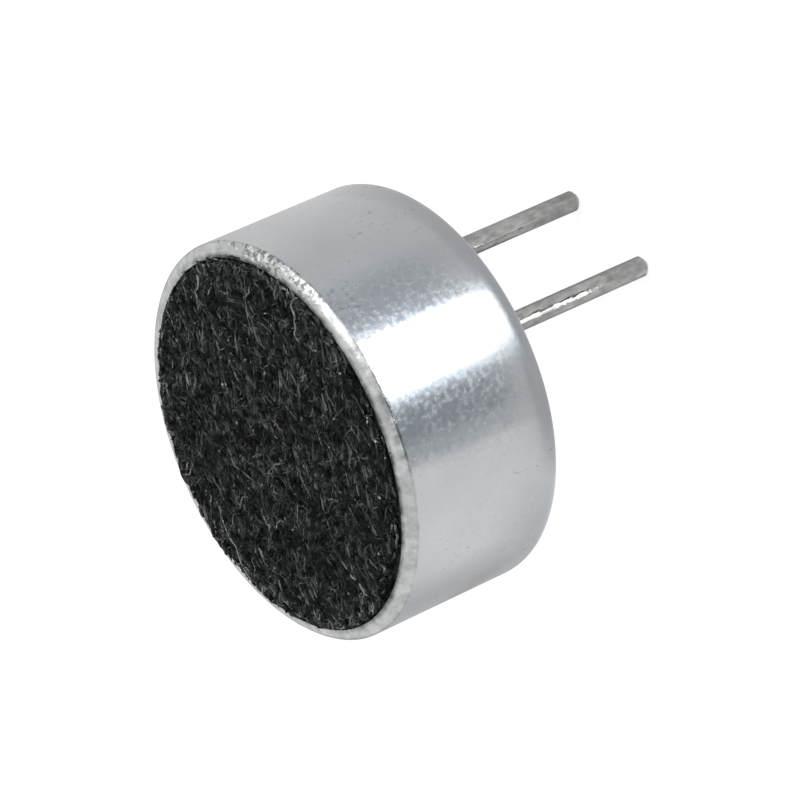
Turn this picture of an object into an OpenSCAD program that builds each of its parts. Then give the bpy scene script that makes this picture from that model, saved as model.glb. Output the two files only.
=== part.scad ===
// Electret microphone capsule with two solder pins, in millimetres.
// The felt faces +Z and the pins point down along -Z. The origin lies midway between
// the pins, in the plane of the crimped rear edge, which sits on a circuit board.

/* [Can] */
// Outside diameter of the drawn aluminium can
can_d = 9.7; // [9:0.1:12]
// Height from the crimped rear edge to the crest of the front rim
can_h = 4.5; // [4.2:0.1:7]
// Thickness of the sheet in the side wall and in the lip
wall_t = 0.3; // [0.2:0.05:0.35]
// Thickness of the front wall under the felt
front_t = 0.3; // [0.2:0.05:0.5]
// Width of the rim that stands round the felt
rim_w = 0.33; // [0.25:0.01:0.45]
// Outer radius of the front rim
rim_r = 0.6; // [0.5:0.05:0.8]
// Depth of the recess in front that holds the felt
recess_depth = 0.28; // [0.24:0.02:0.4]
// Outer radius of the crimped rear edge
crimp_r = 0.4; // [0.4:0.05:0.6]
// Reach of the crimped lip, from the outside of the can inwards
lip_w = 0.75; // [0.65:0.05:0.95]
// Radius on the cut edge of the lip
lip_edge_r = 0.1; // [0.05:0.01:0.15]
// Diameter of each sound hole in the front wall
sound_hole_d = 0.7; // [0.5:0.1:1]
// Number of sound holes round the middle one
sound_holes = 6; // [4:1:8]
// Radius of the circle on which the outer sound holes lie
sound_circle_r = 2; // [1.6:0.1:2.6]

/* [Felt] */
// Thickness of the felt disc without its nap
felt_t = 0.16; // [0.14:0.02:0.24]
// Radius on the felt's front edge
felt_edge_r = 0.06; // [0.03:0.01:0.1]
// Gap between the felt and the wall of its recess
felt_clear = 0.02; // [0.01:0.01:0.1]
// Thickness of the adhesive under the felt
adhesive_t = 0.04; // [0.02:0.01:0.08]
// Width of the adhesive ring
adhesive_w = 1.3; // [0.8:0.1:1.6]
// Distance that the adhesive stays back from the felt's edge
adhesive_back = 0.15; // [0.1:0.05:0.4]

/* [Capsule] */
// Gap between the bore of the can and the pieces stacked in it
stack_clear = 0.1; // [0.05:0.01:0.2]
// Width of the metal ring that stretches the diaphragm
diaphragm_ring_w = 0.85; // [0.75:0.05:1]
// Thickness of that ring
diaphragm_ring_t = 0.25; // [0.15:0.05:0.4]
// Thickness of the diaphragm film
film_t = 0.03; // [0.02:0.01:0.05]
// Distance that the film's edge stays inside the edge of its ring
film_back = 0.05; // [0.02:0.01:0.1]
// Thickness of the spacer between the diaphragm and the back plate
spacer_t = 0.06; // [0.04:0.01:0.1]
// Wall of the insulating ring round the back plate
holder_w = 0.52; // [0.42:0.02:0.6]
// Thickness of the back plate
plate_t = 0.3; // [0.2:0.05:0.5]
// Thickness of the electret film on the back plate
electret_t = 0.03; // [0.02:0.01:0.05]
// Diameter of each hole in the back plate
plate_hole_d = 0.6; // [0.4:0.1:0.8]
// Number of holes in the back plate
plate_holes = 6; // [4:1:8]
// Radius of the circle on which the back plate's holes lie
plate_circle_r = 2.2; // [1.6:0.1:2.6]
// Gap between the back plate and the insulating ring round it
plate_clear = 0.03; // [0.02:0.01:0.05]
// Width of the ledge on which the back plate rests
ledge_w = 0.15; // [0.1:0.01:0.2]
// Wall of the metal ring that joins the back plate to the board
contact_w = 0.4; // [0.3:0.05:0.5]
// Gap between that ring and the insulating ring
contact_clear = 0.05; // [0.03:0.01:0.1]

/* [Circuit board] */
// Thickness of the bare board
board_t = 0.6; // [0.4:0.1:0.8]
// Thickness of the copper foil, with its tin, on both faces
foil_t = 0.04; // [0.02:0.01:0.06]
// Distance between the two strips on the inner face
strip_gap = 0.8; // [0.7:0.05:0.9]
// Distance that the strips reach past the pins on the outside
strip_over = 0.25; // [0.2:0.05:0.4]
// Width of the tongue that leads to the transistor's gate
tongue_w = 0.6; // [0.5:0.05:0.8]
// Width of the ground ring that the lip presses on
ground_ring_w = 0.9; // [0.7:0.05:1]
// Distance from the board's edge to the ground ring
ground_ring_back = 0.1; // [0.05:0.01:0.15]
// Gap that the ground ring keeps from the output pin's pad
pad_clear = 0.15; // [0.1:0.01:0.2]

/* [Transistor] */
// Distance of the transistor's middle from the can's axis
transistor_y = 1.1; // [0.9:0.1:1.3]
// Length of the moulded body
transistor_l = 1.6; // [1.4:0.1:2]
// Width of the moulded body at its parting line
transistor_w = 0.9; // [0.8:0.05:1.1]
// Height of the moulded body
transistor_h = 0.8; // [0.6:0.05:0.9]
// Distance that the mould's draft takes off each side
draft = 0.06; // [0.03:0.01:0.1]
// Gap between the moulded body and the foil
stand_off = 0.05; // [0.03:0.01:0.1]
// Thickness of each lead
lead_t = 0.12; // [0.08:0.01:0.15]
// Width of each lead
lead_w = 0.28; // [0.2:0.02:0.34]
// Distance between the drain and the source leads
lead_pitch = 1.3; // [1.2:0.05:1.5]
// Reach of each lead from the moulded body
lead_reach = 0.5; // [0.4:0.05:0.6]

/* [Capacitors] */
// Length of each chip capacitor
chip_l = 1; // [1:0.05:1.2]
// Width and height of each chip capacitor
chip_w = 0.5; // [0.4:0.05:0.6]
// Length of each metal end
chip_end = 0.25; // [0.2:0.01:0.3]
// Distance that the metal ends stand proud of the ceramic
chip_proud = 0.02; // [0.01:0.01:0.04]
// Distance from the transistor to the first capacitor
chip_first = 1.45; // [1.4:0.05:1.6]
// Distance between the two capacitors
chip_pitch = 0.9; // [0.8:0.05:1]

/* [Pins] */
// Diameter of each pin
pin_d = 0.5; // [0.45:0.05:0.6]
// Length of each pin below the crimped rear edge
pin_l = 5; // [3:0.5:8]
// Distance between the two pins
pin_pitch = 2.54; // [2.3:0.02:2.8]
// Distance of the pins' line from the can's axis
pin_offset = 2.3; // [2.1:0.1:2.4]
// Diameter of the neck that passes through the board
neck_d = 0.4; // [0.3:0.05:0.4]
// Gap between the neck and its hole
neck_clear = 0.02; // [0.01:0.01:0.03]
// Diameter of the head that is riveted over the inner foil
head_d = 0.84; // [0.7:0.02:0.9]
// Height of that head
head_h = 0.1; // [0.06:0.02:0.16]
// Bevel on the cut end of each pin
tip_bevel = 0.08; // [0.04:0.01:0.12]
// Distance that the solder stays above the crimped rear edge
solder_back = 0.04; // [0.02:0.01:0.1]
// Thickness at which the solder's thin edges end
solder_edge = 0.02; // [0.01:0.01:0.04]
// Width of the tinned pad left free round the solder
pad_margin = 0.1; // [0.05:0.01:0.12]

/* [Hidden] */
$fn = 96;

// Cuts run this far past the faces that they open
past = 0.5;

// Can
can_r = can_d / 2;
bore_r = can_r - wall_t;
recess_r = can_r - rim_w;
recess_z = can_h - recess_depth;
front_z = recess_z - front_t;
rim_centre_r = can_r - rim_r;
rim_centre_z = can_h - sqrt(pow(rim_r, 2) - pow(rim_r - rim_w, 2));
lip_r = can_r - lip_w;

// Felt
felt_r = recess_r - felt_clear;
felt_z = recess_z + adhesive_t;
adhesive_r = felt_r - adhesive_back;

// Stack in the can, from the front wall down to the lip
stack_r = bore_r - stack_clear;
diaphragm_free_r = stack_r - diaphragm_ring_w;
plate_r = stack_r - holder_w - plate_clear;
diaphragm_ring_z = front_z - diaphragm_ring_t;
film_z = diaphragm_ring_z - film_t;
spacer_z = film_z - spacer_t;
electret_z = spacer_z - electret_t;
plate_z = electret_z - plate_t;
outer_foil_z = wall_t;
board_z = outer_foil_z + foil_t;
inner_foil_z = board_z + board_t;
inner_top_z = inner_foil_z + foil_t;
ledge_r = plate_r - ledge_w;
contact_r = ledge_r - contact_clear;

// Transistor
parting_z = inner_top_z + stand_off + transistor_h / 2;
gate_y = transistor_y + transistor_w / 2;
drain_y = transistor_y - transistor_w / 2;

// Pins
pin_r = pin_d / 2;
neck_hole_r = neck_d / 2 + neck_clear;
output_x = -pin_pitch / 2;
ground_x = pin_pitch / 2;
solder_size = outer_foil_z - solder_back;
pad_r = pin_r + solder_size + pad_margin;

// Each piece is drawn round the can's axis, which stands behind the pins' line
module on_can_axis() {
    translate([0, pin_offset, 0])
        children();
}

// Flat ring between two radii
module ring(outer_r, inner_r, low_z, height) {
    translate([0, 0, low_z])
        difference() {
            cylinder(r = outer_r, h = height);
            translate([0, 0, -past])
                cylinder(r = inner_r, h = height + 2 * past);
        }
}

// Round holes on a circle, cut down from a face
module hole_circle(count, circle_r, hole_d, low_z, height) {
    for (i = [0 : count - 1])
        rotate([0, 0, i * 360 / count])
            translate([circle_r, 0, low_z])
                cylinder(d = hole_d, h = height);
}

// What a quarter round takes off a corner at the origin, whose sides run along +X and +Y
module corner_waste(radius) {
    difference() {
        translate([-past, -past])
            square(radius + past);
        translate([radius, radius])
            circle(r = radius);
    }
}

// Outside of the can, as a half section: round rim in front, round crimp behind
module can_outline() {
    difference() {
        square([can_r, can_h]);
        difference() {
            translate([rim_centre_r, rim_centre_z])
                square([rim_r + past, can_h + past]);
            translate([rim_centre_r, rim_centre_z])
                circle(r = rim_r);
        }
        translate([can_r, 0])
            mirror([1, 0])
                corner_waste(crimp_r);
    }
}

// Room inside the can, with the bend's own inner radius at the lip
module can_room() {
    bend_r = crimp_r - wall_t;
    difference() {
        translate([0, wall_t])
            square([bore_r, front_z - wall_t]);
        if (bend_r > 0)
            translate([bore_r, wall_t])
                mirror([1, 0])
                    corner_waste(bend_r);
    }
}

// Drawn can: felt recess and sound holes in front, side wall, lip rolled in behind
module can() {
    color([0.78, 0.79, 0.81])
        on_can_axis()
            difference() {
                rotate_extrude()
                    difference() {
                        can_outline();
                        can_room();
                        translate([0, recess_z])
                            square([recess_r, recess_depth + past]);
                        translate([0, -past])
                            square([lip_r, wall_t + 2 * past]);
                        translate([lip_r, 0])
                            corner_waste(lip_edge_r);
                    }
                translate([0, 0, front_z - past])
                    cylinder(d = sound_hole_d, h = front_t + 2 * past);
                hole_circle(sound_holes, sound_circle_r, sound_hole_d, front_z - past, front_t + 2 * past);
            }
}

// Felt disc that keeps dust and breath out of the sound holes
module felt_disc() {
    color([0.1, 0.1, 0.11])
        on_can_axis()
            translate([0, 0, felt_z])
                rotate_extrude()
                    difference() {
                        square([felt_r, felt_t]);
                        translate([felt_r, felt_t])
                            rotate(180)
                                corner_waste(felt_edge_r);
                    }
}

// Ring of adhesive that holds the felt and leaves the sound holes open
module adhesive_ring() {
    color([0.85, 0.8, 0.65])
        on_can_axis()
            ring(adhesive_r, adhesive_r - adhesive_w, recess_z, adhesive_t);
}

// Metal ring on which the diaphragm is stretched, pressed to the front wall
module diaphragm_ring() {
    color([0.8, 0.68, 0.4])
        on_can_axis()
            ring(stack_r, diaphragm_free_r, diaphragm_ring_z, diaphragm_ring_t);
}

// Stretched film that the sound moves
module diaphragm_film() {
    color([0.85, 0.85, 0.8])
        on_can_axis()
            translate([0, 0, film_z])
                cylinder(r = stack_r - film_back, h = film_t);
}

// Insulating washer that sets the gap between diaphragm and back plate
module spacer_ring() {
    color([0.9, 0.85, 0.6])
        on_can_axis()
            ring(stack_r, diaphragm_free_r, spacer_z, spacer_t);
}

// Disc with the back plate's own holes
module perforated_disc(low_z, height) {
    difference() {
        translate([0, 0, low_z])
            cylinder(r = plate_r, h = height);
        hole_circle(plate_holes, plate_circle_r, plate_hole_d, low_z - past, height + 2 * past);
    }
}

// Charged film bonded to the back plate
module electret_film() {
    color([0.75, 0.8, 0.85])
        on_can_axis()
            perforated_disc(electret_z, electret_t);
}

// Fixed electrode behind the diaphragm
module back_plate() {
    color([0.78, 0.66, 0.38])
        on_can_axis()
            perforated_disc(plate_z, plate_t);
}

// Insulating ring that carries the back plate on its ledge and stands on the board
module holder_ring() {
    color([0.93, 0.92, 0.88])
        on_can_axis()
            difference() {
                ring(stack_r, ledge_r, inner_foil_z, spacer_z - inner_foil_z);
                translate([0, 0, plate_z])
                    cylinder(r = plate_r + plate_clear, h = can_h);
            }
}

// Metal ring that joins the back plate to the gate foil
module contact_ring() {
    color([0.82, 0.7, 0.4])
        on_can_axis()
            ring(contact_r, contact_r - contact_w, inner_top_z, plate_z - inner_top_z);
}

// Place of each pin
module at_pin(x) {
    translate([x, -pin_offset, 0])
        children();
}

// Hole for the neck of a pin, as a flat shape
module neck_hole(x) {
    translate([x, -pin_offset])
        circle(r = neck_hole_r);
}

// Round board that closes the can
module circuit_board() {
    color([0.16, 0.42, 0.25])
        on_can_axis()
            translate([0, 0, board_z])
                linear_extrude(board_t)
                    difference() {
                        circle(r = stack_r);
                        neck_hole(output_x);
                        neck_hole(ground_x);
                    }
}

// Foil under the contact ring, with a tongue to the transistor's gate
module gate_foil() {
    inner_r = contact_r - contact_w;
    color([0.8, 0.55, 0.3])
        on_can_axis()
            translate([0, 0, inner_foil_z])
                linear_extrude(foil_t) {
                    difference() {
                        circle(r = contact_r);
                        circle(r = inner_r);
                    }
                    translate([-tongue_w / 2, gate_y + stand_off])
                        square([tongue_w, inner_r + contact_w / 2 - gate_y - stand_off]);
                }
}

// Foil strip from a transistor lead to the head of a pin
module strip_foil(x, side) {
    strip_w = pin_pitch / 2 + strip_over - strip_gap / 2;
    translate([0, 0, inner_foil_z])
        linear_extrude(foil_t)
            difference() {
                union() {
                    translate([side * (strip_gap + strip_w) / 2, (drain_y - stand_off - pin_offset) / 2])
                        square([strip_w, drain_y - stand_off + pin_offset], center = true);
                    translate([x, -pin_offset])
                        circle(d = head_d);
                }
                neck_hole(x);
            }
}

// Foil from the drain lead to the output pin
module drain_foil() {
    color([0.8, 0.55, 0.3])
        on_can_axis()
            strip_foil(output_x, -1);
}

// Foil from the source lead to the ground pin
module source_foil() {
    color([0.8, 0.55, 0.3])
        on_can_axis()
            strip_foil(ground_x, 1);
}

// Ring that the lip presses on, with a tongue to the ground pin's pad
module ground_foil() {
    ring_r = stack_r - ground_ring_back;
    pin_angle = atan2(-pin_offset, ground_x);
    pin_reach = norm([ground_x, pin_offset]);
    color([0.8, 0.82, 0.84])
        on_can_axis()
            translate([0, 0, outer_foil_z])
                linear_extrude(foil_t)
                    difference() {
                        union() {
                            difference() {
                                circle(r = ring_r);
                                circle(r = ring_r - ground_ring_w);
                                translate([output_x, -pin_offset])
                                    circle(r = pad_r + pad_clear);
                            }
                            rotate(pin_angle)
                                translate([pin_reach, -pad_r / 2])
                                    square([ring_r - ground_ring_w / 2 - pin_reach, pad_r]);
                            translate([ground_x, -pin_offset])
                                circle(r = pad_r);
                        }
                        neck_hole(ground_x);
                    }
}

// Pad round the output pin, clear of the ground ring
module output_foil() {
    color([0.8, 0.82, 0.84])
        on_can_axis()
            translate([0, 0, outer_foil_z])
                linear_extrude(foil_t)
                    difference() {
                        translate([output_x, -pin_offset])
                            circle(r = pad_r);
                        neck_hole(output_x);
                    }
}

// Section of the moulded body: widest at the parting line, drafted above and below
module drafted_section(width) {
    polygon([
        [-width / 2, 0],
        [-width / 2 + draft, -transistor_h / 2],
        [width / 2 - draft, -transistor_h / 2],
        [width / 2, 0],
        [width / 2 - draft, transistor_h / 2],
        [-width / 2 + draft, transistor_h / 2]
    ]);
}

// Moulded body of the transistor
module transistor_body() {
    color([0.08, 0.08, 0.09])
        on_can_axis()
            translate([0, transistor_y, parting_z])
                intersection() {
                    rotate([90, 0, 0])
                        linear_extrude(transistor_w + past, center = true)
                            drafted_section(transistor_l);
                    rotate([90, 0, 90])
                        linear_extrude(transistor_l + past, center = true)
                            drafted_section(transistor_w);
                }
}

// Lead that leaves the body at its parting line and bends down to a foot on the foil
module bent_lead(x, y, side) {
    drop = parting_z - inner_top_z;
    bend_1 = lead_reach * 0.3;
    bend_2 = lead_reach * 0.55;
    translate([x, y, inner_top_z])
        rotate([90, 0, side * 90])
            linear_extrude(lead_w, center = true)
                polygon([
                    [0, drop - lead_t / 2],
                    [bend_1 - lead_t / 2, drop - lead_t / 2],
                    [bend_2 - lead_t / 2, 0],
                    [lead_reach, 0],
                    [lead_reach, lead_t],
                    [bend_2 + lead_t / 2, lead_t],
                    [bend_1 + lead_t / 2, drop + lead_t / 2],
                    [0, drop + lead_t / 2]
                ]);
}

// Gate lead, on the foil's tongue
module gate_lead() {
    color([0.75, 0.76, 0.78])
        on_can_axis()
            bent_lead(0, gate_y, 1);
}

// Drain lead, on the strip of the output pin
module drain_lead() {
    color([0.75, 0.76, 0.78])
        on_can_axis()
            bent_lead(-lead_pitch / 2, drain_y, -1);
}

// Source lead, on the strip of the ground pin
module source_lead() {
    color([0.75, 0.76, 0.78])
        on_can_axis()
            bent_lead(lead_pitch / 2, drain_y, -1);
}

// Place of a chip capacitor, counted from the transistor
module at_chip(index) {
    translate([0, transistor_y - chip_first - index * chip_pitch, inner_top_z])
        children();
}

// Ceramic middle of a chip capacitor
module chip_body(index) {
    body_l = chip_l - 2 * chip_end;
    at_chip(index)
        translate([-body_l / 2, -chip_w / 2, chip_proud])
            cube([body_l, chip_w, chip_w]);
}

// Both metal ends of a chip capacitor
module chip_ends(index) {
    end_w = chip_w + 2 * chip_proud;
    at_chip(index)
        for (side = [-1, 1])
            translate([side * (chip_l - chip_end) / 2 - chip_end / 2, -end_w / 2, 0])
                cube([chip_end, end_w, end_w]);
}

module capacitor_a() {
    color([0.62, 0.5, 0.38])
        on_can_axis()
            chip_body(0);
}

module capacitor_a_ends() {
    color([0.8, 0.81, 0.82])
        on_can_axis()
            chip_ends(0);
}

module capacitor_b() {
    color([0.62, 0.5, 0.38])
        on_can_axis()
            chip_body(1);
}

module capacitor_b_ends() {
    color([0.8, 0.81, 0.82])
        on_can_axis()
            chip_ends(1);
}

// Pin: bevelled end, shoulder on the pad, neck through the board, riveted head
module pin(x) {
    color([0.72, 0.72, 0.73])
        on_can_axis()
            at_pin(x) {
                translate([0, 0, tip_bevel - pin_l])
                    cylinder(d = pin_d, h = outer_foil_z + pin_l - tip_bevel);
                translate([0, 0, -pin_l])
                    cylinder(r1 = pin_r - tip_bevel, r2 = pin_r, h = tip_bevel);
                translate([0, 0, outer_foil_z])
                    cylinder(d = neck_d, h = inner_top_z - outer_foil_z);
                translate([0, 0, inner_top_z])
                    cylinder(d = head_d, h = head_h);
            }
}

module pin_output() {
    pin(output_x);
}

module pin_ground() {
    pin(ground_x);
}

// Solder drawn up in a hollow curve between the pad and the pin
module solder(x) {
    color([0.8, 0.81, 0.83])
        on_can_axis()
            at_pin(x)
                translate([0, 0, outer_foil_z])
                    rotate_extrude()
                        translate([pin_r, 0])
                            difference() {
                                translate([0, -solder_size])
                                    square(solder_size);
                                translate([solder_size, -solder_size])
                                    circle(r = solder_size - solder_edge);
                            }
}

module solder_output() {
    solder(output_x);
}

module solder_ground() {
    solder(ground_x);
}

can();
felt_disc();
adhesive_ring();
diaphragm_ring();
diaphragm_film();
spacer_ring();
electret_film();
back_plate();
holder_ring();
contact_ring();
circuit_board();
gate_foil();
drain_foil();
source_foil();
ground_foil();
output_foil();
transistor_body();
gate_lead();
drain_lead();
source_lead();
capacitor_a();
capacitor_a_ends();
capacitor_b();
capacitor_b_ends();
pin_output();
pin_ground();
solder_output();
solder_ground();
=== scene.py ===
# Electret microphone capsule: drawn aluminium can, black felt front, two tinned pins behind.
import math

import bpy
import numpy as np
from mathutils import Matrix, Vector, noise


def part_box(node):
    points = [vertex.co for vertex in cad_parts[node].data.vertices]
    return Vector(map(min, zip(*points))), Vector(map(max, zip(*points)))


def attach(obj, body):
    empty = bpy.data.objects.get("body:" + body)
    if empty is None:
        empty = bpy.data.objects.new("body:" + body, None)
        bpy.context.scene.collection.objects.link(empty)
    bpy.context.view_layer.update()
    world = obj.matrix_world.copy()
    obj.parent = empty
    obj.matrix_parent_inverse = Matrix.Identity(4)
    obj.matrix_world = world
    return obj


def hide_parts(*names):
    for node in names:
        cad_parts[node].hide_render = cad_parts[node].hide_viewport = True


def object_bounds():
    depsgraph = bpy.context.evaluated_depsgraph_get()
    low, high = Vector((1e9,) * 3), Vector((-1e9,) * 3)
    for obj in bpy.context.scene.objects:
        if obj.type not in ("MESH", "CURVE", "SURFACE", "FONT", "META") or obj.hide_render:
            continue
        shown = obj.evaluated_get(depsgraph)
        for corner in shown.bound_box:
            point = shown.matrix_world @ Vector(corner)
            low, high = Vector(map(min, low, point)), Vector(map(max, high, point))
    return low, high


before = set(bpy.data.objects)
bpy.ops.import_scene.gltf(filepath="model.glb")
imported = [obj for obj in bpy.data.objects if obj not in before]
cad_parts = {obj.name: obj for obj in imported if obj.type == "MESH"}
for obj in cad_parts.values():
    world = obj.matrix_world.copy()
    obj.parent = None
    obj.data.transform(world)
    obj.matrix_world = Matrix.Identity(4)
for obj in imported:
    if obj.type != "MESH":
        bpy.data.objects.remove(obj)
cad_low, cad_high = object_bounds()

# Everything below is written in millimetres and built in metres
MM = 0.001
can_low, can_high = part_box("can")
felt_low, felt_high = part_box("felt_disc")
AXIS_Y = (can_low.y + can_high.y) / 2 / MM
CAN_R = (can_high.x - can_low.x) / 2 / MM
CAN_H = can_high.z / MM
FELT_R = (felt_high.x - felt_low.x) / 2 / MM
FELT_Z = felt_low.z / MM
FELT_TOP = felt_high.z / MM
FLOOR_Z = cad_low.z / MM

# Thickness of the can's wall and of its front wall, and depth of the recess that holds the felt
WALL = 0.3
FRONT = 0.3
RECESS = 0.28
# Heights of the rim: where the plain side ends in a small corner, the corner's line of painted shade, the
# crest
SIDE_TOP = 4.195
CORNER_SHADE_LINE = 4.222
CREST = 4.44

# Directions round the can's axis, in degrees from +X towards +Y. On the rim: the side that faces the
# camera, the worn side, the painted shade along the corner, the darker patch. On the felt: where its
# border was pressed down, where its edge is loose, and the way its fibres were combed.
NEAR = -126
WORN = -72
CORNER_SHADED = -127
DARKENED = -132
PRESSED = -153
LOOSE = -105
COMBED = -77


def compass(azimuth):
    """Level unit vector of a direction round the can's axis."""
    return (math.cos(math.radians(azimuth)), math.sin(math.radians(azimuth)), 0.0)


# Shader nodes

def put(tree, kind, inputs=None, **settings):
    """Adds a node with its settings, and fills its inputs with values or links."""
    node = tree.nodes.new(kind)
    for name, value in settings.items():
        setattr(node, name, value)
    for key, value in (inputs or {}).items():
        if isinstance(value, bpy.types.NodeSocket):
            tree.links.new(value, node.inputs[key])
        else:
            node.inputs[key].default_value = value
    return node


def maths(tree, operation, *values, **settings):
    """Result of one step of arithmetic."""
    return put(tree, "ShaderNodeMath", dict(enumerate(values)), operation=operation, **settings).outputs[0]


def times(tree, first, *others):
    """Product of several masks."""
    for other in others:
        first = maths(tree, "MULTIPLY", first, other)
    return first


def ramp(tree, value, start, full, low=0.0, high=1.0):
    """Goes from low to high while a value goes from start to full."""
    return put(tree, "ShaderNodeMapRange", {0: value, 1: start, 2: full, 3: low, 4: high}).outputs[0]


def between(tree, mask, low, high):
    """Spreads a mask from 0 to 1 over the range from low to high."""
    return ramp(tree, mask, 0.0, 1.0, low, high)


def cloud(tree, place, scale, detail, roughness=0.5):
    """Soft noise over a surface."""
    return put(tree, "ShaderNodeTexNoise", {
        "Vector": place, "Scale": scale, "Detail": detail, "Roughness": roughness}).outputs["Fac"]


def new_group(name, inputs, outputs):
    """An empty shader node group with named inputs and outputs."""
    tree = bpy.data.node_groups.new(name, "ShaderNodeTree")
    for label, kind, value in inputs:
        tree.interface.new_socket(name=label, in_out="INPUT", socket_type=kind).default_value = value
    for label in outputs:
        tree.interface.new_socket(name=label, in_out="OUTPUT", socket_type="NodeSocketFloat")
    return tree, tree.nodes.new("NodeGroupInput").outputs, tree.nodes.new("NodeGroupOutput").inputs


def stretched(tree, stretch):
    """Place on the object, with each direction multiplied by its own number."""
    place = put(tree, "ShaderNodeTexCoord")
    return put(tree, "ShaderNodeMapping", {"Vector": place.outputs["Object"], "Scale": stretch}).outputs[0]


def mottle_group():
    """Soft uneven patches, such as handling marks and uneven tin."""
    tree, given, out = new_group("Mottle", [
        ("Scale", "NodeSocketFloat", 500.0),
        ("Stretch", "NodeSocketVector", (1.0, 1.0, 1.0)),
        ("Detail", "NodeSocketFloat", 3.0),
        ("Contrast", "NodeSocketFloat", 1.0),
    ], ["Mask"])
    patches = cloud(tree, stretched(tree, given["Stretch"]), given["Scale"], given["Detail"])
    spread = maths(tree, "SUBTRACT", patches, 0.5)
    grown = maths(tree, "MULTIPLY", spread, given["Contrast"])
    tree.links.new(maths(tree, "ADD", grown, 0.5, use_clamp=True), out["Mask"])
    return tree


def grain_group():
    """Fine peened grain for a bump, from two sizes of noise."""
    tree, given, out = new_group("Fine grain", [
        ("Scale", "NodeSocketFloat", 9000.0),
        ("Stretch", "NodeSocketVector", (1.0, 1.0, 1.0)),
    ], ["Height"])
    place = stretched(tree, given["Stretch"])
    fine = cloud(tree, place, given["Scale"], 2.0)
    coarse = cloud(tree, place, maths(tree, "MULTIPLY", given["Scale"], 0.31), 1.0)
    tree.links.new(maths(tree, "MULTIPLY_ADD", coarse, 0.4, fine), out["Height"])
    return tree


def specks_group():
    """Small scattered marks, drawn out along one direction by Stretch."""
    tree, given, out = new_group("Specks", [
        ("Scale", "NodeSocketFloat", 2500.0),
        ("Stretch", "NodeSocketVector", (1.0, 1.0, 1.0)),
        ("Amount", "NodeSocketFloat", 0.2),
        ("Gathered", "NodeSocketFloat", 0.6),
    ], ["Mask"])
    marks = cloud(tree, stretched(tree, given["Stretch"]), given["Scale"], 2.0, 0.6)
    regions = cloud(tree, stretched(tree, (1.0, 1.0, 1.0)), 520.0, 1.0)
    centred = maths(tree, "SUBTRACT", regions, 0.5)
    both = maths(tree, "MULTIPLY_ADD", centred, given["Gathered"], marks)
    start = maths(tree, "SUBTRACT", 0.85, given["Amount"])
    over = maths(tree, "SUBTRACT", both, start)
    tree.links.new(maths(tree, "MULTIPLY", over, 14.0, use_clamp=True), out["Mask"])
    return tree


def place_group():
    """Where a point lies, in millimetres: height, radius from the can's axis, reach towards a direction."""
    tree, given, out = new_group("Place on the can", [
        ("Direction", "NodeSocketVector", (1.0, 0.0, 0.0)),
    ], ["Height", "Radius", "Reach"])
    place = put(tree, "ShaderNodeTexCoord")
    centred = put(tree, "ShaderNodeVectorMath", {
        0: place.outputs["Object"], 1: (0.0, AXIS_Y * MM, 0.0)}, operation="SUBTRACT")
    measured = put(tree, "ShaderNodeVectorMath", {
        0: centred.outputs[0], "Scale": 1 / MM}, operation="SCALE")
    parts = put(tree, "ShaderNodeSeparateXYZ", {0: measured.outputs[0]})
    level = put(tree, "ShaderNodeVectorMath", {
        0: measured.outputs[0], 1: (1.0, 1.0, 0.0)}, operation="MULTIPLY")
    radius = put(tree, "ShaderNodeVectorMath", {0: level.outputs[0]}, operation="LENGTH")
    reach = put(tree, "ShaderNodeVectorMath", {
        0: level.outputs[0], 1: given["Direction"]}, operation="DOT_PRODUCT")
    tree.links.new(parts.outputs["Z"], out["Height"])
    tree.links.new(radius.outputs["Value"], out["Radius"])
    tree.links.new(reach.outputs["Value"], out["Reach"])
    return tree


MOTTLE = mottle_group()
GRAIN = grain_group()
SPECKS = specks_group()
PLACE = place_group()


def use(tree, group, output=0, **inputs):
    """Places a node group with its inputs given by name, and returns one of its outputs."""
    node = tree.nodes.new("ShaderNodeGroup")
    node.node_tree = group
    for name, value in inputs.items():
        node.inputs[name].default_value = value
    return node.outputs[output]


def blend_colours(tree, mask, low, high):
    """Mixes two colours by a mask."""
    mix = put(tree, "ShaderNodeMix", {0: mask}, data_type="RGBA")
    for index, colour in ((6, low), (7, high)):
        if isinstance(colour, bpy.types.NodeSocket):
            tree.links.new(colour, mix.inputs[index])
        else:
            mix.inputs[index].default_value = (*colour, 1.0)
    return mix.outputs[2]


def bumped(tree, height, depth, under=None):
    """Normal of a height whose depth is in millimetres, laid over another normal if one is given."""
    inputs = {"Height": height, "Distance": depth * MM, "Strength": 1.0}
    if under is not None:
        inputs["Normal"] = under
    return put(tree, "ShaderNodeBump", inputs).outputs["Normal"]


def new_material(name, **fixed):
    """A material with its shader, and the values that are the same all over it."""
    material = bpy.data.materials.new(name)
    material.use_nodes = True
    tree = material.node_tree
    shader = tree.nodes["Principled BSDF"]
    for label, value in fixed.items():
        shader.inputs[label.replace("_", " ")].default_value = value
    return material, tree, shader.inputs


# Materials

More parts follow.
